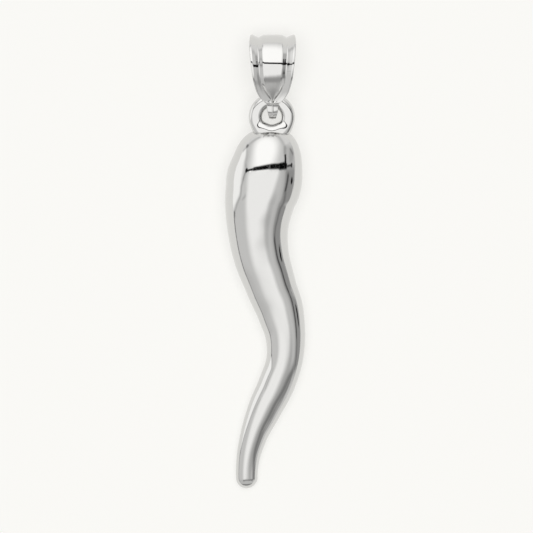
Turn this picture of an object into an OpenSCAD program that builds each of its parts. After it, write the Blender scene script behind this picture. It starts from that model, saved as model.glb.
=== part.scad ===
// Cornicello horn pendant: a solid metal horn with a ring soldered into its crown, and a fluted
// teardrop bail that rides loosely on the ring. It lies on its back.
// Millimetres. +Y points from the tip to the bail, +Z away from the surface it lies on, +X to the
// right as seen from above. The origin is the centre of the bounding box's bottom.

/* [Horn] */
// Length of the horn, from the top of its crown to the end of its tip
horn_length = 39.7; // [34:0.1:48]
// Greatest width of the horn, seen from the front
horn_width = 8.45; // [7.4:0.05:10]
// Greatest depth of the horn, front to back
horn_depth = 6.8; // [6:0.05:8.2]
// Width of the horn close to its rounded tip
tip_width = 2.3; // [1.8:0.05:3]
// Sideways swing of the centre line, from its left bend to its right bend
swing_width = 3.0; // [1.6:0.05:4]

/* [Ring] */
// Outside diameter of the ring on the crown
ring_across = 5.1; // [4.9:0.05:6]
// Thickness of the ring's round wire
ring_wire = 1.5; // [1.2:0.05:1.6]

/* [Bail] */
// Length of the bail, from the outside of its neck to the outside of its top
bail_length = 9.4; // [8.8:0.1:12]
// Greatest width of the bail, across its fluted strip
bail_width = 5.15; // [4.2:0.05:6.4]
// How far the bail stands out in front of the horn, both lying on their backs
bail_proud = 0.4; // [-0.2:0.05:1.2]
// Thickness of the bail's strip
bail_wall = 0.55; // [0.45:0.05:0.7]
// Depth of the two grooves in the strip
groove_depth = 0.28; // [0.1:0.02:0.34]
// Play between the bail's neck and the inside of the ring
neck_play = 0.5; // [0.35:0.05:0.6]

/* [Hidden] */

// Horn: how far its centre line lies to the side, and how thick it is, down its length.
// along: share of horn_length from the crown
// side: share of swing_width, plus is to the right
// girth: share of the step from tip_width to horn_width
// depth: share of the step from tip_depth to horn_depth
SIDE = 1;
GIRTH = 2;
DEPTH = 3;
horn_rows = [
    // along  side   girth  depth
    [0.00, -0.09, 1.00, 1.00],
    [0.07, -0.13, 0.98, 1.00],
    [0.15, -0.30, 1.00, 1.00],
    [0.21, -0.46, 0.87, 0.96],
    [0.28, -0.51, 0.72, 0.84],
    [0.35, -0.39, 0.63, 0.70],
    [0.43, -0.06, 0.54, 0.57],
    [0.51,  0.32, 0.46, 0.46],
    [0.58,  0.50, 0.34, 0.38],
    [0.65,  0.44, 0.28, 0.31],
    [0.71,  0.17, 0.28, 0.25],
    [0.78, -0.27, 0.23, 0.18],
    [0.85, -0.65, 0.12, 0.11],
    [0.92, -0.88, 0.04, 0.05],
    [1.00, -0.90, 0.01, 0.00]
];
// Share of the length that the rounded crown takes, and how square its curve is, seen from the
// front and from the side
crown_front = [0.22, 3];
crown_side = [0.17, 2.1];

// Bail: the front of its strip, from above the lip to the top.
// up: share of the height of the bail's opening, from the neck
// width: share of the step from the neck's width to bail_width
// panel: half-width of the raised middle panel, share of the strip's half-width
UP = 0;
WIDTH = 1;
PANEL = 2;
bail_rows = [
    // up     width  panel
    [0.12, 0.00, 0.02],
    [0.15, 0.15, 0.04],
    [0.20, 0.39, 0.22],
    [0.25, 0.54, 0.36],
    [0.33, 0.68, 0.46],
    [0.43, 0.80, 0.50],
    [0.55, 0.88, 0.50],
    [0.68, 0.95, 0.50],
    [0.82, 1.00, 0.50],
    [1.00, 0.94, 0.50]
];
// Where the strip ends in a lip over the neck, share of the height of the bail's opening
lip_low = 0.11;
// How much sooner the strip narrows behind than in front, as a factor on the way down
back_narrows = 1.28;

// The bail is deeper than the horn by what it stands out
bail_depth = horn_depth + bail_proud;

ring_hole = ring_across - 2 * ring_wire;
ring_mid = (ring_across - ring_wire) / 2;
neck_width = ring_hole * 0.62;
neck_thick = ring_hole * 0.40;
lip_thick = neck_thick * 1.15;
// Gap that is left where the bail rests on the ring
rest_gap = 0.08;

// A value read off a table at x, as a smooth curve through its rows
function curve_near(rows, col, k, x) =
    let (m = min(max(k, 1), len(rows) - 2))
    let (a = rows[m - 1], b = rows[m], c = rows[m + 1])
    a[col] * (x - b[0]) * (x - c[0]) / ((a[0] - b[0]) * (a[0] - c[0]))
    + b[col] * (x - a[0]) * (x - c[0]) / ((b[0] - a[0]) * (b[0] - c[0]))
    + c[col] * (x - a[0]) * (x - b[0]) / ((c[0] - a[0]) * (c[0] - b[0]));
function row_below(rows, x) = max([for (j = [0:len(rows) - 2]) if (j == 0 || rows[j][0] <= x) j]);
function ease(u) = u * u * u * (u * (6 * u - 15) + 10);
function read_rows(rows, col, x) =
    let (j = row_below(rows, x))
    let (u = (x - rows[j][0]) / (rows[j + 1][0] - rows[j][0]))
    curve_near(rows, col, j, x) * (1 - ease(u)) + curve_near(rows, col, j + 1, x) * ease(u);
function unit(v) = v / norm(v);
function clamp01(u) = min(max(u, 0), 1);

// Horn in its own frame: crown top at the origin, tip toward -Y, depth along Z
horn_sides = 32;
crown_rings = [for (a = [6:9:87]) crown_front[0] * (1 - cos(a))];
body_rings = [for (k = [0:38]) crown_front[0] + k * (0.965 - crown_front[0]) / 38];
tip_cap = tip_width / 2 / horn_length;
tip_depth = tip_width * 0.86;
tip_rings = [for (a = [10:13:88]) 1 - tip_cap + tip_cap * sin(a)];
horn_stations = concat(
    crown_rings, [for (t = body_rings) if (t < 1 - tip_cap) t], tip_rings
);

function horn_middle(t) = [read_rows(horn_rows, SIDE, t) * swing_width, -t * horn_length];
function crown_curve(t, crown) =
    pow(1 - pow(1 - clamp01(t / crown[0]), crown[1]), 1 / crown[1]);
function tip_curve(t) = sqrt(1 - pow(1 - clamp01((1 - t) / tip_cap), 2));
function girth_at(t) =
    (tip_width + (horn_width - tip_width) * read_rows(horn_rows, GIRTH, t))
    * crown_curve(t, crown_front) * tip_curve(t);
function depth_at(t) =
    (tip_depth + (horn_depth - tip_depth) * read_rows(horn_rows, DEPTH, t))
    * crown_curve(t, crown_side) * tip_curve(t);
function horn_way(t) = unit(horn_middle(min(t + 0.002, 1)) - horn_middle(max(t - 0.002, 0)));
function horn_ring(t) =
    let (mid = horn_middle(t), way = horn_way(t), girth = girth_at(t), depth = depth_at(t))
    [for (k = [0:horn_sides - 1])
        let (a = 360 * k / horn_sides)
        let (across = cos(a) * girth / 2)
        [mid[0] - way[1] * across, mid[1] + way[0] * across, sin(a) * depth / 2]];
horn_points = [for (t = horn_stations) each horn_ring(t)];
horn_crown = [horn_middle(0)[0], 0, 0];
horn_end = [horn_middle(1)[0], horn_middle(1)[1], 0];

// How far the horn lies back: its belly and its tip both touch the surface
function lowest(points, tilt) = min([for (p = points) p[1] * sin(tilt) + p[2] * cos(tilt)]);
belly_points = [for (p = horn_points) if (p[2] < 0 && p[1] > -horn_length * 0.4) p];
tip_points = [for (p = horn_points) if (p[2] < 0 && p[1] < -horn_length * 0.8) p];
function level(lo, hi, n) =
    let (mid = (lo + hi) / 2)
    n == 0 ? mid
    : lowest(belly_points, mid) < lowest(tip_points, mid) ? level(mid, hi, n - 1)
    : level(lo, mid, n - 1);
horn_tilt = level(0, 15, 24);

// Ring: upright in the crown, its hole just clear of the metal below. Its wire swells a little
// toward its foot, where it is soldered in.
ring_x = 0;
ring_y = ring_hole / 2 + ring_wire * 0.2;
ring_sides = 32;
ring_steps = 48;
foot_swell = 0.32;
function ring_radius(up) =
    ring_wire / 2 * (1 + foot_swell * ease(clamp01((0.63 - up / ring_wire) / 0.93)));
function ring_slice(a) =
    let (way = [cos(a), sin(a)], mid = [ring_x, ring_y] + ring_mid * way)
    let (radius = ring_radius(mid[1]))
    [for (k = [0:ring_sides - 1])
        let (b = 360 * k / ring_sides, at = mid + way * radius * cos(b))
        [at[0], at[1], -radius * sin(b)]];

// Bail in its own frame: the ring's wire is at the origin, the top toward +Y, depth along Z.
// The path is the inside of the loop.
opening_low = -(ring_wire / 2 + neck_play);
opening_high = bail_length + opening_low - neck_thick - bail_wall;
opening_length = opening_high - opening_low;
opening_depth = bail_depth - 2 * bail_wall;
top_radius = opening_depth / 2;
neck_radius = ring_wire / 2;
neck_middle = opening_low + neck_radius;
top_middle = opening_high - top_radius;
flank_turn = acos((top_radius - neck_radius) / (top_middle - neck_middle));
// Along the path p goes from 0 to 1 round half the neck, to 2 up the front flank and to 3 over
// half the top, then back behind to 6
function path_out(p) =
    let (q = min(p, 6 - p))
    let (way = flank_turn * min(q, 1) + (180 - flank_turn) * max(q - 2, 0))
    [-cos(way), sign(3 - p) * sin(way)];
function path_at(p) =
    let (s = clamp01(min(p, 6 - p) - 1))
    let (radius = neck_radius * (1 - s) + top_radius * s)
    [neck_middle * (1 - s) + top_middle * s, 0] + radius * path_out(p);

// The strip's section at height u: its half-width, thickness, panel and groove
function lip_step(u) = ease(clamp01((u - lip_low) / 0.03));
function strip_row(col, u) = max(read_rows(bail_rows, col, max(u, bail_rows[0][UP])), 0);
function strip_half(u) =
    neck_width / 2 + (bail_width - neck_width) / 2 * strip_row(WIDTH, u);
function strip_thick(u) =
    let (lift = 1 - ease(clamp01((u - lip_low) / 0.25)))
    neck_thick * (1 - lip_step(u))
    + (bail_wall + (lip_thick - bail_wall) * lift) * lip_step(u);
function groove_at(u) = groove_depth * ease(clamp01((u - lip_low) / 0.12));

// Half of the section, from its middle to its edge: [sideways, outward]
function half_section(u) =
    let (b = strip_half(u), t = strip_thick(u), g = groove_at(u), panel = strip_row(PANEL, u))
    let (shoulder = max(panel - 0.13, 0.02), valley = panel + 0.13)
    let (plain = 1 - ease(clamp01((u - lip_low) / 0.04)))
    let (brow = min(b, t) * 0.22 * plain)
    [
        [0, t],
        [b * shoulder * 0.9, t - g * 0.05],
        [b * (shoulder + valley) / 2, t - g * 0.5 - brow * 0.1],
        [b * valley, t - g * 1.05 - brow * 0.3],
        [b * (valley * 0.5 + 0.455), t - g * 0.48 - brow * 0.6],
        [b * 0.91, t - brow],
        [b * 0.985, t - g * 0.15 - brow * 1.3],
        [b, t * 0.75 - brow * 1.2],
        [b, t * 0.16 + brow * 1.2],
        [b * 0.95, t * 0.04 + brow * 0.4],
        [b * 0.50, 0]
    ];
function section(u) =
    let (h = half_section(u), n = len(h))
    concat(h, [for (k = [n - 1:-1:1]) [-h[k][0], h[k][1]]]);

// Closer together where the strip ends in its lip
half_stations = concat(
    [for (k = [0:6]) k / 6], [1.07, 1.13], [for (k = [0:8]) 1.17 + k * 0.015],
    [for (k = [1:14]) 1.29 + k * 0.05], [for (k = [0:16]) 2 + k / 16]
);
half_count = len(half_stations);
bail_stations = concat(
    half_stations, [for (k = [half_count - 2:-1:1]) 6 - half_stations[k]]
);
function strip_place(p) =
    let (u = (path_at(p)[0] - opening_low) / opening_length)
    p <= 3 ? u : 1 - (1 - u) * back_narrows;
function bail_ring(p) =
    let (at = path_at(p), out = path_out(p))
    [for (s = section(strip_place(p))) [s[0], at[0] + out[0] * s[1], at[1] + out[1] * s[1]]];
bail_sides = len(section(0.5));
bail_loose = [for (p = bail_stations) each bail_ring(p)];

// The bail drops until its front rests on the ring's wire, then leans back to the surface
front_room = min([for (p = [0.6:0.05:2]) norm(path_at(p))]) - ring_wire / 2;
bail_points = [for (p = bail_loose) p - [0, 0, front_room - rest_gap]];
// It hangs a little to the right of the ring's middle
bail_aside = ring_hole * 0.04;
wire_at = [ring_x + bail_aside, ring_y + ring_mid, 0];
floor_low = lowest(belly_points, horn_tilt);
wire_up = wire_at[1] * sin(horn_tilt) - floor_low;
function lean(lo, hi, n) =
    let (mid = (lo + hi) / 2)
    n == 0 ? mid
    : lowest(bail_points, -mid) + wire_up > 0 ? lean(mid, hi, n - 1)
    : lean(lo, mid, n - 1);
bail_tilt = lean(0, 60, 24);

// Extents, so that the origin stays at the centre of the bounding box's bottom
function turned(p, angle) =
    [p[0], p[1] * cos(angle) - p[2] * sin(angle), p[1] * sin(angle) + p[2] * cos(angle)];
function laid(p) = turned(p, horn_tilt);
function leaned(p) = turned(p, -bail_tilt);
laid_horn = [for (p = horn_points) laid(p)];
wire_spot = laid(wire_at);
leaned_bail = [for (p = bail_points) leaned(p) + wire_spot];
all_x = [for (p = concat(laid_horn, leaned_bail)) p[0]];
high_y = max([for (p = leaned_bail) p[1]]);
low_y = min(min([for (p = laid_horn) p[1]]), laid(horn_end)[1]);
home = [-(min(all_x) + max(all_x)) / 2, -(high_y + low_y) / 2, -floor_low];

// Side faces between rings of n points, in a row of m rings
function wall_faces(n, m, closed) =
    [for (r = [0:m - (closed ? 1 : 2)], k = [0:n - 1])
        let (a = r * n + k, b = r * n + (k + 1) % n, up = ((r + 1) % m) * n)
        each [[b, a, up + k], [up + (k + 1) % n, b, up + k]]];

module horn_body() {
    rings = len(horn_stations);
    last = (rings - 1) * horn_sides;
    spots = concat(horn_points, [horn_crown], [horn_end]);
    top = len(horn_points);
    caps = [for (k = [0:horn_sides - 1])
        let (next = (k + 1) % horn_sides)
        each [[next, top, k], [last + next, last + k, top + 1]]];
    polyhedron(points = spots, faces = concat(wall_faces(horn_sides, rings, false), caps));
}

module ring() {
    polyhedron(
        points = [for (k = [0:ring_steps - 1]) each ring_slice(360 * k / ring_steps)],
        faces = wall_faces(ring_sides, ring_steps, true)
    );
}

module horn() {
    color("Gainsboro")
        translate(home)
            rotate([horn_tilt, 0, 0])
                union() {
                    horn_body();
                    ring();
                }
}

module bail() {
    color("WhiteSmoke")
        translate(home + wire_spot)
            rotate([-bail_tilt, 0, 0])
                polyhedron(
                    points = bail_points,
                    faces = wall_faces(bail_sides, len(bail_stations), true)
                );
}

horn();
bail();
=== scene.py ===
"""Looks for the horn pendant: mirror-polished rhodium-white metal on a pale table, from above.

The horn's body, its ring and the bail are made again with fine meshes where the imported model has
them. A dome of soft panels close above the pendant gives the metal something to reflect.
"""

import math
from collections import namedtuple

import bpy
import numpy as np
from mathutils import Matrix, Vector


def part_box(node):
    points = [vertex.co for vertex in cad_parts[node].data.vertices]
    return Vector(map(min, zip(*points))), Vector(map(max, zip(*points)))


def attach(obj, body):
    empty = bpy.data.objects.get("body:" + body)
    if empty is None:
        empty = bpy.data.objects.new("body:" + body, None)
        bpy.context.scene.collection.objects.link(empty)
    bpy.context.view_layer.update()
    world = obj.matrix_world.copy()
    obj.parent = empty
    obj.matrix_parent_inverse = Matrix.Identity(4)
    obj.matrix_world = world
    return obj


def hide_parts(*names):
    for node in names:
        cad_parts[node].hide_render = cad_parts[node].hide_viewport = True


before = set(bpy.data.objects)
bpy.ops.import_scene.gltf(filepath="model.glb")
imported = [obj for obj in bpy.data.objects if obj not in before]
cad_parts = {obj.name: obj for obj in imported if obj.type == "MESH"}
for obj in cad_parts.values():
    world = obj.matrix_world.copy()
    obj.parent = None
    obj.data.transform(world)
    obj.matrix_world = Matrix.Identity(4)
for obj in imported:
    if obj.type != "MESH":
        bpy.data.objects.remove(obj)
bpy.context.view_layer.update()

MM = 0.001

# Sizes in millimetres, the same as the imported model's
HORN_LENGTH = 39.7
HORN_WIDTH = 8.45
HORN_DEPTH = 6.8
TIP_WIDTH = 2.3
SWING_WIDTH = 3.0
RING_ACROSS = 5.1
RING_WIRE = 1.5
BAIL_LENGTH = 9.4
BAIL_WIDTH = 5.15
BAIL_PROUD = 0.4
BAIL_DEPTH = HORN_DEPTH + BAIL_PROUD
BAIL_WALL = 0.55
GROOVE_DEPTH = 0.28
NECK_PLAY = 0.5

# How far the horn and the bail lie back onto the table
HORN_TILT = math.radians(4.32)
BAIL_TILT = math.radians(5.66)

# Horn: share of the length, sideways share of the swing, and shares of the steps from the tip's
# width and depth to the full ones
SIDE, GIRTH, DEPTH = 1, 2, 3
HORN_ROWS = np.array([
    [0.00, -0.09, 1.00, 1.00],
    [0.07, -0.13, 0.98, 1.00],
    [0.15, -0.30, 1.00, 1.00],
    [0.21, -0.46, 0.87, 0.96],
    [0.28, -0.51, 0.72, 0.84],
    [0.35, -0.39, 0.63, 0.70],
    [0.43, -0.06, 0.54, 0.57],
    [0.51, 0.32, 0.46, 0.46],
    [0.58, 0.50, 0.34, 0.38],
    [0.65, 0.44, 0.28, 0.31],
    [0.71, 0.17, 0.28, 0.25],
    [0.78, -0.27, 0.23, 0.18],
    [0.85, -0.65, 0.12, 0.11],
    [0.92, -0.88, 0.04, 0.05],
    [1.00, -0.90, 0.01, 0.00],
])

# Bail: share of the opening's height, share of the step to full width, half-width of the panel
WIDTH, PANEL = 1, 2
BAIL_ROWS = np.array([
    [0.12, 0.00, 0.02],
    [0.15, 0.15, 0.04],
    [0.20, 0.39, 0.22],
    [0.25, 0.54, 0.36],
    [0.33, 0.68, 0.46],
    [0.43, 0.80, 0.50],
    [0.55, 0.88, 0.50],
    [0.68, 0.95, 0.50],
    [0.82, 1.00, 0.50],
    [1.00, 0.94, 0.50],
])


# Curves through the tables

def ease(u):
    return u ** 3 * (u * (6 * u - 15) + 10)


def share01(x):
    return np.clip(x, 0, 1)


def unit(v):
    return v / np.linalg.norm(v, axis=-1, keepdims=True)


def curve_near(rows, col, k, x):
    """The parabola through row k and its two neighbours."""
    m = np.clip(k, 1, len(rows) - 2)
    a, b, c = rows[m - 1], rows[m], rows[m + 1]
    xa, xb, xc = a[..., 0], b[..., 0], c[..., 0]
    return (
        a[..., col] * (x - xb) * (x - xc) / ((xa - xb) * (xa - xc))
        + b[..., col] * (x - xa) * (x - xc) / ((xb - xa) * (xb - xc))
        + c[..., col] * (x - xa) * (x - xb) / ((xc - xa) * (xc - xb))
    )


def read_rows(rows, col, x):
    """A column read off a table at x, as a smooth curve through its rows."""
    x = np.asarray(x, float)
    j = np.clip(np.searchsorted(rows[:, 0], x, side="right") - 1, 0, len(rows) - 2)
    blend = ease((x - rows[j, 0]) / (rows[j + 1, 0] - rows[j, 0]))
    return curve_near(rows, col, j, x) * (1 - blend) + curve_near(rows, col, j + 1, x) * blend


def turned(points, angle):
    """Points turned about X."""
    c, s = math.cos(angle), math.sin(angle)
    x, y, z = points[..., 0], points[..., 1], points[..., 2]
    return np.stack([x, y * c - z * s, y * s + z * c], -1)


# Horn, in its own frame: crown top at the origin, tip toward -Y

# The crown's rounding, seen from the front and from the side: share of the length, power
CROWN_FRONT = (0.22, 3)
CROWN_SIDE = (0.17, 2.1)
TIP_CAP = TIP_WIDTH / 2 / HORN_LENGTH
TIP_DEPTH = TIP_WIDTH * 0.86
# Angle in radians left open at both ends, which a fan of faces closes
END_OPEN = 0.02
# Half of the step over which the way along the horn is measured, as a share of the length
WAY_STEP = 0.002


def horn_middle(t):
    return np.stack([read_rows(HORN_ROWS, SIDE, t) * SWING_WIDTH, -t * HORN_LENGTH], -1)


def crown_curve(t, crown):
    share, power = crown
    return (1 - (1 - share01(t / share)) ** power) ** (1 / power)


def tip_curve(t):
    return np.sqrt(np.maximum(1 - (1 - share01((1 - t) / TIP_CAP)) ** 2, 0))


def horn_girth(t):
    table = TIP_WIDTH + (HORN_WIDTH - TIP_WIDTH) * read_rows(HORN_ROWS, GIRTH, t)
    return table * crown_curve(t, CROWN_FRONT) * tip_curve(t)


def horn_depth(t):
    table = TIP_DEPTH + (HORN_DEPTH - TIP_DEPTH) * read_rows(HORN_ROWS, DEPTH, t)
    return table * crown_curve(t, CROWN_SIDE) * tip_curve(t)


def horn_rings(sides=144, in_crown=110, in_body=220, in_tip=36):
    """Rings of points around the horn, from the crown to the tip."""
    share = CROWN_FRONT[0]
    crown = share * (1 - np.cos(np.linspace(END_OPEN, math.pi / 2, in_crown, endpoint=False)))
    body = np.linspace(share, 1 - TIP_CAP, in_body, endpoint=False)
    tip = 1 - TIP_CAP + TIP_CAP * np.sin(np.linspace(0, math.pi / 2 - END_OPEN, in_tip))
    t = np.concatenate([crown, body, tip])
    middle = horn_middle(t)
    way = unit(horn_middle(np.minimum(t + WAY_STEP, 1)) - horn_middle(np.maximum(t - WAY_STEP, 0)))
    angle = np.linspace(0, 2 * math.pi, sides, endpoint=False)
    across = np.cos(angle) * horn_girth(t)[:, None] / 2
    x = middle[:, :1] - way[:, 1:] * across
    y = middle[:, 1:] + way[:, :1] * across
    z = np.sin(angle) * horn_depth(t)[:, None] / 2
    return np.stack([x, y, z], -1)


def horn_ends():
    """The crown's top and the tip's end."""
    return np.array([np.append(horn_middle(t), 0.0) for t in (0.0, 1.0)])


# Ring, in the horn's frame: it stands on the crown, and its foot sinks into it

RING_HOLE = RING_ACROSS - 2 * RING_WIRE
RING_MID = (RING_ACROSS - RING_WIRE) / 2
# Height of the hole's lowest point above the crown's top, in wires
HOLE_LIFT = 0.2
RING_UP = RING_HOLE / 2 + RING_WIRE * HOLE_LIFT
# The wire swells by FOOT_SWELL toward its foot. The swelling starts FOOT_TOP wires above the
# crown's top and is full FOOT_REACH wires lower
FOOT_SWELL = 0.32
FOOT_TOP = 0.63
FOOT_REACH = 0.93
# Power of the wire's round. Below 1 the wire is a little flat on top, as polishing leaves it
WIRE_SQUARE = 0.8


def squared_off(wave):
    return np.sign(wave) * np.abs(wave) ** WIRE_SQUARE


def ring_rings(around=160, section=64):
    """Rings of points around the ring's wire."""
    a = np.linspace(0, 2 * math.pi, around, endpoint=False)[:, None]
    b = np.linspace(2 * math.pi, 0, section, endpoint=False)[None, :]
    foot = ease(share01((FOOT_TOP - (RING_UP + RING_MID * np.sin(a)) / RING_WIRE) / FOOT_REACH))
    wire = RING_WIRE / 2 * (1 + FOOT_SWELL * foot)
    r = RING_MID + wire * squared_off(np.cos(b))
    return np.stack([r * np.cos(a), RING_UP + r * np.sin(a), wire * squared_off(np.sin(b))], -1)


# Bail's loop, in its own frame: the ring's wire is at the origin, the top toward +Y

NECK_WIDTH = RING_HOLE * 0.62
NECK_THICK = RING_HOLE * 0.40
LIP_THICK = NECK_THICK * 0.82
OPENING_LOW = -(RING_WIRE / 2 + NECK_PLAY)
OPENING_LENGTH = BAIL_LENGTH - NECK_THICK - BAIL_WALL
OPENING_DEPTH = BAIL_DEPTH - 2 * BAIL_WALL
TOP_RADIUS = OPENING_DEPTH / 2
NECK_RADIUS = RING_WIRE / 2
NECK_MIDDLE = OPENING_LOW + NECK_RADIUS
TOP_MIDDLE = OPENING_LOW + OPENING_LENGTH - TOP_RADIUS
FLANK_TURN = math.acos((TOP_RADIUS - NECK_RADIUS) / (TOP_MIDDLE - NECK_MIDDLE))
# How far the changes of curve are spread along the loop, in millimetres
PATH_SOFT = 0.25


def path_at(p):
    """The inside of the bail's loop: from 0 to 1 round half the neck, to 2 up the front flank, to 3
    over half the top, then back behind to 6."""
    q = np.minimum(p, 6 - p)
    way = FLANK_TURN * np.minimum(q, 1) + (math.pi - FLANK_TURN) * np.maximum(q - 2, 0)
    up = share01(q - 1)
    radius = NECK_RADIUS * (1 - up) + TOP_RADIUS * up
    middle = NECK_MIDDLE * (1 - up) + TOP_MIDDLE * up
    return np.stack([middle - radius * np.cos(way), np.sign(3 - p) * radius * np.sin(way)], -1)


def even_path(count=4000):
    """The loop as evenly spaced points, with its changes of curve softened."""
    rough = path_at(np.linspace(0, 6, 6001))
    along = np.append(0, np.cumsum(np.linalg.norm(np.diff(rough, axis=0), axis=1)))
    want = np.linspace(0, along[-1], count, endpoint=False)
    even = np.stack([np.interp(want, along, rough[:, k]) for k in (0, 1)], -1)
    wave = np.fft.fftfreq(count, along[-1] / count)[:, None]
    blur = np.exp(-2 * (math.pi * wave * PATH_SOFT) ** 2)
    soft = np.fft.ifft(np.fft.fft(even, axis=0) * blur, axis=0).real
    low, high = soft.min(0), soft.max(0)
    up = OPENING_LOW + (soft[:, 0] - low[0]) * OPENING_LENGTH / (high[0] - low[0])
    return np.stack([up, soft[:, 1] * TOP_RADIUS / high[1]], -1)


# Bail's strip. Heights are shares of the opening's height

# The lip is the step from the neck to the strip. It starts at this height and is this high
LIP_LOW = 0.11
LIP_RISE = 0.03
# From the lip up: the strip thins to its wall, the grooves deepen, and the neck's brow fades out
LIFT_REACH = 0.35
GROOVE_RISE = 0.06
BROW_FADES = 0.04
# The back narrows this much faster on its way down than the front
BACK_NARROWS = 1.28
# The neck thins by this share up to the lip
NECK_THINS = 0.35
# It narrows by this share toward its lowest point, from this height down
NECK_TAPER = 0.42
NECK_END = 0.07
# Places across the strip, as shares of its half-width
SHOULDER_IN = 0.05
SHOULDER_LEAST = 0.04
VALLEY_OUT = 0.13
RIM = 0.91
# The neck's front edges are worn round by this share of its size
BROW = 0.22


def strip_row(col, u):
    """A column of the bail's table at height u. Below the first row it stays as it is there."""
    return np.maximum(read_rows(BAIL_ROWS, col, np.maximum(u, BAIL_ROWS[0, 0])), 0)


def strip_section(u):
    """The corner points of the strip's section at height u: sideways, outward."""
    above = u - LIP_LOW
    half = NECK_WIDTH / 2 + (BAIL_WIDTH - NECK_WIDTH) / 2 * strip_row(WIDTH, u)
    half = half * (1 - NECK_TAPER * (1 - share01(u / NECK_END)) ** 2)
    lip = ease(share01(above / LIP_RISE))
    lift = (1 - share01(above / LIFT_REACH)) ** 2
    neck = NECK_THICK * (1 - NECK_THINS * ease(share01(u / LIP_LOW)))
    thick = neck * (1 - lip) + (BAIL_WALL + (LIP_THICK - BAIL_WALL) * lift) * lip
    groove = GROOVE_DEPTH * ease(share01(above / GROOVE_RISE))
    brow = np.minimum(half, thick) * BROW * (1 - ease(share01(above / BROW_FADES)))
    panel = strip_row(PANEL, u)
    shoulder = np.maximum(panel - SHOULDER_IN, SHOULDER_LEAST)
    valley = panel + VALLEY_OUT
    flute = (valley + RIM) / 2
    # Share of the half-width, share of the thickness, and shares of the groove and the brow cut off
    corners = (
        (0.00, 1.00, 0.00, 0.0),
        (shoulder * 0.45, 1.00, 0.02, 0.0),
        (shoulder * 0.88, 1.00, 0.13, 0.0),
        (shoulder, 1.00, 0.24, 0.0),
        (valley, 1.00, 1.05, 0.3),
        (flute, 1.00, 0.48, 0.6),
        (RIM, 1.00, 0.00, 1.0),
        (0.985, 1.00, 0.15, 1.3),
        (1.00, 0.75, 0.00, 1.2),
        (1.00, 0.16, 0.00, -1.2),
        (0.95, 0.04, 0.00, -0.4),
        (0.50, 0.00, 0.00, 0.0),
    )
    right = [(half * out, thick * up - groove * cut - brow * worn) for out, up, cut, worn in corners]
    left = [(-sideways, outward) for sideways, outward in right[:0:-1]]
    return np.stack([np.stack(corner, -1) for corner in right + left], -2)


def crisp(corners, near=0.22):
    """More corner points on each side, so that the rounding stays close to the corners."""
    after = np.roll(corners, -1, axis=-2)
    three = [corners, corners * (1 - near) + after * near, corners * near + after * (1 - near)]
    return np.stack(three, -2).reshape(*corners.shape[:-2], -1, 2)


def rounded(corners, steps):
    """A closed smooth curve near its corner points, along the last axis but one."""
    out = []
    for k in range(corners.shape[-2]):
        near = [np.take(corners, k + j, axis=-2, mode="wrap") for j in (-1, 0, 1, 2)]
        for u in np.arange(steps) / steps:
            weights = (
                (1 - u) ** 3 / 6,
                (3 * u ** 3 - 6 * u ** 2 + 4) / 6,
                (-3 * u ** 3 + 3 * u ** 2 + 3 * u + 1) / 6,
                u ** 3 / 6,
            )
            out.append(sum(w * p for w, p in zip(weights, near)))
    return np.stack(out, -2)


def bail_rings(stations=440, steps=3, extra=3, spread=0.06):
    """Rings of points around the bail's strip, up to 1 + extra times as dense near the lip."""
    path = even_path()
    ahead = np.roll(path, -1, axis=0) - np.roll(path, 1, axis=0)
    out = unit(np.stack([-ahead[:, 1], ahead[:, 0]], -1))
    share = share01((path[:, 0] - OPENING_LOW) / OPENING_LENGTH)
    dense = np.cumsum(1 + extra * np.exp(-(((share - LIP_LOW - LIP_RISE) / spread) ** 2)))
    wanted = dense[-1] * (np.arange(stations) + 0.5) / stations
    picked = np.searchsorted(dense, wanted)
    at, out, share = path[picked], out[picked], share[picked]
    height = np.where(at[:, 1] >= 0, share, 1 - (1 - share) * BACK_NARROWS)
    section = rounded(crisp(strip_section(height)), steps)
    along = at[:, :1] + out[:, :1] * section[..., 1]
    deep = at[:, 1:] + out[:, 1:] * section[..., 1]
    return np.stack([section[..., 0], along, deep], -1)


# Meshes

def home(points, node):
    """The move that brings points to the node's place: middle in X, top in Y, table in Z."""
    low, high = (np.array(corner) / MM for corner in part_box(node))
    own_low, own_high = points.reshape(-1, 3).min(0), points.reshape(-1, 3).max(0)
    middle = (low[0] + high[0]) / 2 - (own_low[0] + own_high[0]) / 2
    return np.array([middle, high[1] - own_high[1], low[2] - own_low[2]])


def ring_faces(rings, sides, closed):
    """Four-sided faces between rings of points."""
    faces = []
    for r in range(rings if closed else rings - 1):
        near, far = r * sides, (r + 1) % rings * sides
        for k in range(sides):
            after = (k + 1) % sides
            faces.append((near + k, near + after, far + after, far + k))
    return faces


def end_faces(rings, sides):
    """Fans that close the first and last ring with the two points that follow all the rings."""
    first, last = rings * sides, rings * sides + 1
    last_ring = (rings - 1) * sides
    faces = []
    for k in range(sides):
        after = (k + 1) % sides
        faces.append((after, k, first))
        faces.append((last_ring + k, last_ring + after, last))
    return faces


def new_object(name, data):
    thing = bpy.data.objects.new(name, data)
    bpy.context.scene.collection.objects.link(thing)
    return thing


def add_piece(name, points, faces, nodes):
    mesh = bpy.data.meshes.new(name)
    mesh.from_pydata((points.reshape(-1, 3) * MM).tolist(), [], faces)
    mesh.validate()
    mesh.shade_smooth()
    piece = new_object(name, mesh)
    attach(piece, "root")
    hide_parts(*nodes)
    return piece


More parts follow.
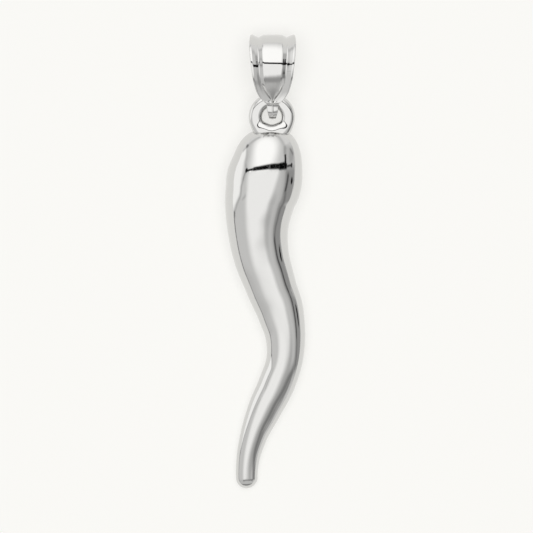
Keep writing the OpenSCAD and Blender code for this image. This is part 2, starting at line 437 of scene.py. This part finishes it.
def make_horn():
    """The horn's body and its ring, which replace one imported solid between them."""
    body = turned(horn_rings(), HORN_TILT)
    ends = turned(horn_ends(), HORN_TILT)
    ring = turned(ring_rings(), HORN_TILT)
    move = home(np.concatenate([body.reshape(-1, 3), ring.reshape(-1, 3)]), "horn")
    rings, sides = body.shape[:2]
    horn_points = np.concatenate([body.reshape(-1, 3), ends]) + move
    horn_faces = ring_faces(rings, sides, closed=False) + end_faces(rings, sides)
    wire_faces = ring_faces(*ring.shape[:2], closed=True)
    return (
        add_piece("horn_body", horn_points, horn_faces, ["horn"]),
        add_piece("crown_ring", ring + move, wire_faces, ["horn"]),
    )


def make_bail():
    points = turned(bail_rings(), -BAIL_TILT)
    points = points + home(points, "bail")
    faces = ring_faces(*points.shape[:2], closed=True)
    return add_piece("bail_strip", points, faces, ["bail"])


horn, ring = make_horn()
bail = make_bail()


# Shader arithmetic

class Field:
    """A number that varies over a shader, so that a formula can be written as one."""

    def __init__(self, tree, socket):
        self.tree = tree
        self.socket = socket

    def feed(self, slot, value):
        """Joins a shader's input to a field, or sets it to a plain number."""
        if isinstance(value, Field):
            self.tree.links.new(value.socket, slot)
        else:
            slot.default_value = value

    def apply(self, operation, *others):
        node = self.tree.nodes.new("ShaderNodeMath")
        node.operation = operation
        for slot, value in zip(node.inputs, (self, *others)):
            self.feed(slot, value)
        return Field(self.tree, node.outputs[0])

    def __add__(self, other):
        return self.apply("ADD", other)

    def __sub__(self, other):
        return self.apply("SUBTRACT", other)

    def __mul__(self, other):
        return self.apply("MULTIPLY", other)

    def __truediv__(self, other):
        return self.apply("DIVIDE", other)

    def falls(self, start, end):
        """1 up to start, then smoothly down to 0 at end. The other way round if end < start."""
        node = self.tree.nodes.new("ShaderNodeMapRange")
        node.interpolation_type = "SMOOTHSTEP"
        self.feed(node.inputs["Value"], self)
        node.inputs["From Min"].default_value = min(start, end)
        node.inputs["From Max"].default_value = max(start, end)
        node.inputs["To Min"].default_value = 1.0 if start < end else 0.0
        node.inputs["To Max"].default_value = 0.0 if start < end else 1.0
        return Field(self.tree, node.outputs["Result"])

    def towards(self, target, amount):
        """This value moved to target by amount, from 0 to 1."""
        node = self.tree.nodes.new("ShaderNodeMix")
        node.data_type = "FLOAT"
        for name, value in (("Factor", amount), ("A", self), ("B", target)):
            slot = next(s for s in node.inputs if s.name == name and s.type == "VALUE")
            self.feed(slot, value)
        return Field(self.tree, node.outputs[0])


def from_middle(x, y):
    """Distance of the place x, y from the middle, where both are fields."""
    return (x * x + y * y).apply("SQRT")


def new_material(name):
    material = bpy.data.materials.new(name)
    material.use_nodes = True
    return material


def own_place(tree):
    """Where on the object a shaded point is, in metres."""
    where = tree.nodes.new("ShaderNodeTexCoord")
    parts = tree.nodes.new("ShaderNodeSeparateXYZ")
    tree.links.new(where.outputs["Object"], parts.inputs[0])
    return [Field(tree, socket) for socket in parts.outputs]


# Panels on the dome. Places are in degrees from straight overhead toward +X and +Y, across and
# along are half sizes, edge is how wide the soft edge is, and tone, from 0 to 255, is what the metal
# is to show

Panel = namedtuple("Panel", "is_round x y across along turn edge tone")


def box(x, y, across, along, edge, tone, turn=0):
    return Panel(False, x, y, across, along, turn, edge, tone)


def oval(x, y, across, along, edge, tone, turn=0):
    return Panel(True, x, y, across, along, turn, edge, tone)


def length_and_turn(x1, y1, x2, y2):
    return math.hypot(x2 - x1, y2 - y1), math.degrees(math.atan2(x1 - x2, y2 - y1))


def line(x1, y1, x2, y2, half, edge, tone):
    """A straight streak from one place on the dome to another."""
    length, turn = length_and_turn(x1, y1, x2, y2)
    return box((x1 + x2) / 2, (y1 + y2) / 2, half, length / 2, edge, tone, turn)


def side(x1, y1, x2, y2, edge, tone, deep=60):
    """All that lies to the left of the way from one place to another."""
    length, turn = length_and_turn(x1, y1, x2, y2)
    x = (x1 + x2) / 2 - (y2 - y1) / length * deep
    y = (y1 + y2) / 2 + (x2 - x1) / length * deep
    return box(x, y, deep, length / 2, edge, tone, turn)


DOME_BASE = 194
VAULT_AND_FIELD = (
    oval(-5, 43, 30, 38, 32, 251),
    box(-1, -8, 39, 26, 16, 232),
    side(40, 22, 20, -24, 13, 187, deep=22),
    side(36, -16, -24, -31, 15, 166, deep=12),
)
PAST_THE_CORNERS = (
    box(-92, 25, 36, 34, 14, 236),
    side(-92, 46, -57, 57, 7, 206, deep=40),
    side(-58, 56, -16, 83, 7, 207, deep=30),
    side(18, 86, 44, 48, 7, 206, deep=30),
)
LEFT_WALL = (
    side(-8, -48, -54, -2, 24, 191, deep=40),
    side(-55, 5, -99, -14, 7, 190, deep=22),
    box(-62, -58, 52, 22, 12, 179),
)
RIGHT_WALL = (
    box(106, -5, 62, 54, 12, 176),
    box(70, -12, 17, 25, 9, 138),
    oval(70, 30, 9, 13, 10, 158),
    line(63, 43, 78, 31, 2.0, 6, 116),
)
FRONT_BAND = (
    box(10, -64, 60, 20, 8, 180),
    line(-30, -41, 60, -34, 6.5, 9, 143),
    oval(-2, -50, 15, 7, 7, 182),
    box(0, -82, 60, 10, 5, 126),
    line(16, -37, 58, -34, 3.5, 6, 116),
    oval(-27, -41, 6, 5, 6, 118),
    oval(50, -47, 8, 7, 6, 150),
    box(70, -54, 14, 9, 8, 189),
)
SEAMS = (
    line(-46, 24, -51, 34, 2.2, 6, 166),
    line(-51, 34, -57, 52, 2.5, 8, 174),
    line(-55, 58, -18, 81, 3, 9, 174),
    line(-58, 55, -74, 50, 2, 6, 178),
    oval(-57, 57.5, 5, 4.5, 5, 116),
    line(18, 86, 44, 48, 3, 9, 178),
    line(44.5, 49, 46, 32, 3.5, 8, 152),
    line(-46, 22, -56, 4, 5, 13, 186),
    line(-46, 22, -54, 8, 1.6, 5, 132),
    line(-54, 8, -60, 0, 1.8, 6, 160),
    line(-60, 0, -84, -11, 1.4, 5, 162),
    oval(-84, -11.5, 3.0, 2.0, 2.5, 112, turn=-20),
    line(-53, -3, -42, -1.4, 0.8, 2.8, 166),
)
LEFT_HEM = (
    line(-87, -12, -84, -24, 2.2, 3, 122),
    line(-84, -24, -75, -44, 2.2, 3, 128),
    line(-75, -44, -62, -61, 2.2, 3, 138),
)
DARK_SLOT = (
    line(-47, 21.0, -28, 21.2, 1.9, 1.8, 6),
    line(-28, 21.2, 10, 18.8, 2.7, 2.0, 6),
    line(10, 18.6, 56, 14.6, 3.1, 2.4, 6),
    line(34, 16.2, 53, 16.4, 3.8, 2.8, 6),
    oval(-45.5, 22, 3.4, 4.0, 2.2, 6),
    oval(-35, 18.6, 2.0, 1.3, 0.9, 255),
    line(47.5, 32, 50.5, 17, 2.7, 3.0, 12),
    line(56, 14.4, 76, 15, 1.2, 2.5, 50),
    oval(73, 15, 3.6, 2.6, 2.0, 24),
)
RIGHT_STREAKS = (
    line(62.5, 8, 59.5, -17, 3.0, 5, 72),
    line(61, -17, 66, -35, 2.6, 7, 108),
    line(36, -42.5, 58, -40, 3.2, 5, 128),
    oval(77.5, -1.8, 3.6, 6.4, 2.4, 4),
)
# The order in which they are painted, one over the other
PANELS = (
    VAULT_AND_FIELD + PAST_THE_CORNERS + LEFT_WALL + RIGHT_WALL + FRONT_BAND
    + SEAMS + LEFT_HEM + DARK_SLOT + RIGHT_STREAKS
)

METAL_TONE = 0.67


def light_for(tone):
    """Brightness of the studio where the metal is to show this tone of the display's curve."""
    share = tone / 255
    linear = share / 12.92 if share <= 0.04045 else ((share + 0.055) / 1.055) ** 2.4
    return linear / METAL_TONE


def paint(tone, x, y, panel):
    """The tone with one more soft-edged panel over it."""
    c, s = math.cos(math.radians(panel.turn)), math.sin(math.radians(panel.turn))
    u = ((x - panel.x) * c + (y - panel.y) * s).apply("ABSOLUTE")
    v = ((y - panel.y) * c - (x - panel.x) * s).apply("ABSOLUTE")
    if panel.is_round:
        # Half of the soft edge, as a share of the oval's mean half size
        soft = panel.edge / (panel.across + panel.along)
        inside = from_middle(u / panel.across, v / panel.along).falls(1 - soft, 1 + soft)
    else:
        soft = panel.edge / 2
        inside = u.falls(panel.across - soft, panel.across + soft)
        inside = inside * v.falls(panel.along - soft, panel.along + soft)
    return tone.towards(light_for(panel.tone), inside)


# Studio, in metres and watts

DOME_RADIUS = 0.15
# How far from straight overhead the dome ends
DOME_HEM = math.radians(94)
DOME_COLOR = (1.0, 0.995, 0.98, 1.0)
SKY_COLOR = (1.0, 0.996, 0.98, 1.0)
SKY_STRENGTH = 0.40
LAMP_HEIGHT = 0.5
LAMP_ACROSS = 0.36
LAMP_POWER = 1.6


def dome_material():
    material = new_material("studio_panels")
    tree = material.node_tree
    tree.nodes.clear()
    px, py, pz = own_place(tree)
    # Never quite 0, because it is divided by
    flat = from_middle(px, py).apply("MAXIMUM", 1e-6)
    lean = flat.apply("ARCTAN2", pz) * math.degrees(1)
    x, y = px * lean / flat, py * lean / flat
    # The same tone everywhere to begin with, made a field by the first term
    tone = x * 0.0 + light_for(DOME_BASE)
    for panel in PANELS:
        tone = paint(tone, x, y, panel)
    glow = tree.nodes.new("ShaderNodeEmission")
    glow.inputs["Color"].default_value = DOME_COLOR
    tree.links.new(tone.socket, glow.inputs["Strength"])
    out = tree.nodes.new("ShaderNodeOutputMaterial")
    tree.links.new(glow.outputs[0], out.inputs["Surface"])
    return material


def make_dome(around=96, up=32):
    """A light dome round the pendant. The metal reflects it, and it throws no shadow."""
    points = [(0.0, 0.0, DOME_RADIUS)]
    for k in range(1, up + 1):
        lean = DOME_HEM * k / up
        flat = DOME_RADIUS * math.sin(lean)
        for a in np.linspace(0, 2 * math.pi, around, endpoint=False):
            points.append((flat * math.cos(a), flat * math.sin(a), DOME_RADIUS * math.cos(lean)))
    faces = [(0, 1 + k, 1 + (k + 1) % around) for k in range(around)]
    faces += [tuple(1 + v for v in face) for face in ring_faces(up, around, closed=False)]
    mesh = bpy.data.meshes.new("light_dome")
    mesh.from_pydata(points, [], faces)
    mesh.materials.append(dome_material())
    dome = new_object("light_dome", mesh)
    dome.visible_camera = False
    dome.visible_diffuse = False
    dome.visible_shadow = False


def make_world():
    """Plain light from all around, for the table."""
    world = bpy.data.worlds.new("studio")
    bpy.context.scene.world = world
    world.use_nodes = True
    sky = world.node_tree.nodes["Background"]
    sky.inputs["Color"].default_value = SKY_COLOR
    sky.inputs["Strength"].default_value = SKY_STRENGTH


def make_lamp():
    """A round soft lamp overhead, which gives the table its narrow shadow."""
    data = bpy.data.lights.new("top_lamp", "AREA")
    data.shape = "DISK"
    data.size = LAMP_ACROSS
    data.energy = LAMP_POWER
    lamp = new_object("top_lamp", data)
    lamp.location = (0, 0, LAMP_HEIGHT)
    lamp.visible_glossy = False
    lamp.visible_camera = False


make_dome()
make_world()
make_lamp()


# Metal

METAL_COLOR = (METAL_TONE, METAL_TONE * 0.998, METAL_TONE * 0.99, 1)
# Heights in millimetres
WAVE_HEIGHT = 0.006
PIT_HEIGHT = 0.0004
HAIR_DEPTH = 0.0002
ROUGH_LEAST = 0.012
ROUGH_UNEVEN = 0.05
ROUGH_HAIRS = 0.06


def make_metal(name, seed):
    """Polished rhodium: a trace of waviness from the buffing wheel, hairlines and uneven gloss."""
    material = new_material(name)
    tree = material.node_tree
    shader = tree.nodes["Principled BSDF"]
    shader.inputs["Base Color"].default_value = METAL_COLOR
    shader.inputs["Metallic"].default_value = 1.0
    where = tree.nodes.new("ShaderNodeTexCoord")

    def grain(across, along, turn=0, detail=0):
        """Noise with cells of these sizes in millimetres, turned by so many degrees."""
        mapping = tree.nodes.new("ShaderNodeMapping")
        mapping.inputs["Location"].default_value = (seed * 0.37, seed * 0.11, 0)
        mapping.inputs["Rotation"].default_value = (0, 0, math.radians(turn))
        mapping.inputs["Scale"].default_value = (1 / MM / across, 1 / MM / along, 1 / MM / across)
        tree.links.new(where.outputs["Object"], mapping.inputs["Vector"])
        noise = tree.nodes.new("ShaderNodeTexNoise")
        noise.inputs["Scale"].default_value = 1.0
        noise.inputs["Detail"].default_value = detail
        tree.links.new(mapping.outputs["Vector"], noise.inputs["Vector"])
        return Field(tree, noise.outputs[0])

    waves = grain(3.2, 3.2, detail=1)
    pits = grain(0.5, 0.5, detail=2)
    short_hairs = grain(0.05, 2.6, turn=24)
    long_hairs = grain(0.05, 3.4, turn=-58)
    hairs = short_hairs.falls(0.72, 0.66) + long_hairs.falls(0.74, 0.68)
    height = waves * WAVE_HEIGHT + pits * PIT_HEIGHT - hairs * HAIR_DEPTH
    bump = tree.nodes.new("ShaderNodeBump")
    bump.inputs["Distance"].default_value = MM
    tree.links.new(height.socket, bump.inputs["Height"])
    tree.links.new(bump.outputs["Normal"], shader.inputs["Normal"])
    rough = grain(1.6, 1.6, detail=3) * ROUGH_UNEVEN + hairs * ROUGH_HAIRS + ROUGH_LEAST
    tree.links.new(rough.socket, shader.inputs["Roughness"])
    return material


LOOKS = (
    (horn, "rhodium_horn", 1),
    (ring, "rhodium_ring", 2),
    (bail, "rhodium_bail", 3),
)
for piece, name, seed in LOOKS:
    piece.data.materials.append(make_metal(name, seed))


# Table and camera, in metres

TABLE_HALF = 2.0
TABLE_COLOR = (0.34, 0.338, 0.328, 1)
TABLE_ROUGHNESS = 0.9
GLOW_COLOR = (1.0, 0.993, 0.965, 1.0)
# The glow in the middle and away from it, and the distances over which it changes
GLOW_MIDDLE = 0.625
GLOW_AWAY = 0.60
GLOW_REACH = (0.03, 0.12)
CAMERA_HEIGHT = 0.6
# What the camera sees at the height of the pendant's waist
VIEW_WIDTH = 0.05863
VIEW_MIDDLE = (0.00015, -0.00052)
WAIST = 0.0034
# In millimetres, as Blender counts it
SENSOR_WIDTH = 36.0


def table_material():
    material = new_material("lit_table")
    tree = material.node_tree
    shader = tree.nodes["Principled BSDF"]
    shader.inputs["Base Color"].default_value = TABLE_COLOR
    shader.inputs["Roughness"].default_value = TABLE_ROUGHNESS
    shader.inputs["Specular IOR Level"].default_value = 0.0
    shader.inputs["Emission Color"].default_value = GLOW_COLOR
    px, py, _ = own_place(tree)
    glow = from_middle(px, py).falls(*GLOW_REACH) * (GLOW_MIDDLE - GLOW_AWAY) + GLOW_AWAY
    tree.links.new(glow.socket, shader.inputs["Emission Strength"])
    return material


def make_table():
    """A lit table: it glows softly, so that the shadow on it stays faint."""
    mesh = bpy.data.meshes.new("floor")
    corners = [(x * TABLE_HALF, y * TABLE_HALF, 0) for x, y in ((-1, -1), (1, -1), (1, 1), (-1, 1))]
    mesh.from_pydata(corners, [], [(0, 1, 2, 3)])
    mesh.materials.append(table_material())
    floor = new_object("floor", mesh)


def make_camera():
    data = bpy.data.cameras.new("camera")
    data.sensor_width = SENSOR_WIDTH
    data.lens = SENSOR_WIDTH * (CAMERA_HEIGHT - WAIST) / VIEW_WIDTH
    data.clip_start = 0.01
    camera = new_object("camera", data)
    camera.location = (*VIEW_MIDDLE, CAMERA_HEIGHT)
    bpy.context.scene.camera = camera
    bpy.context.scene.view_settings.view_transform = "Standard"


make_table()
make_camera()
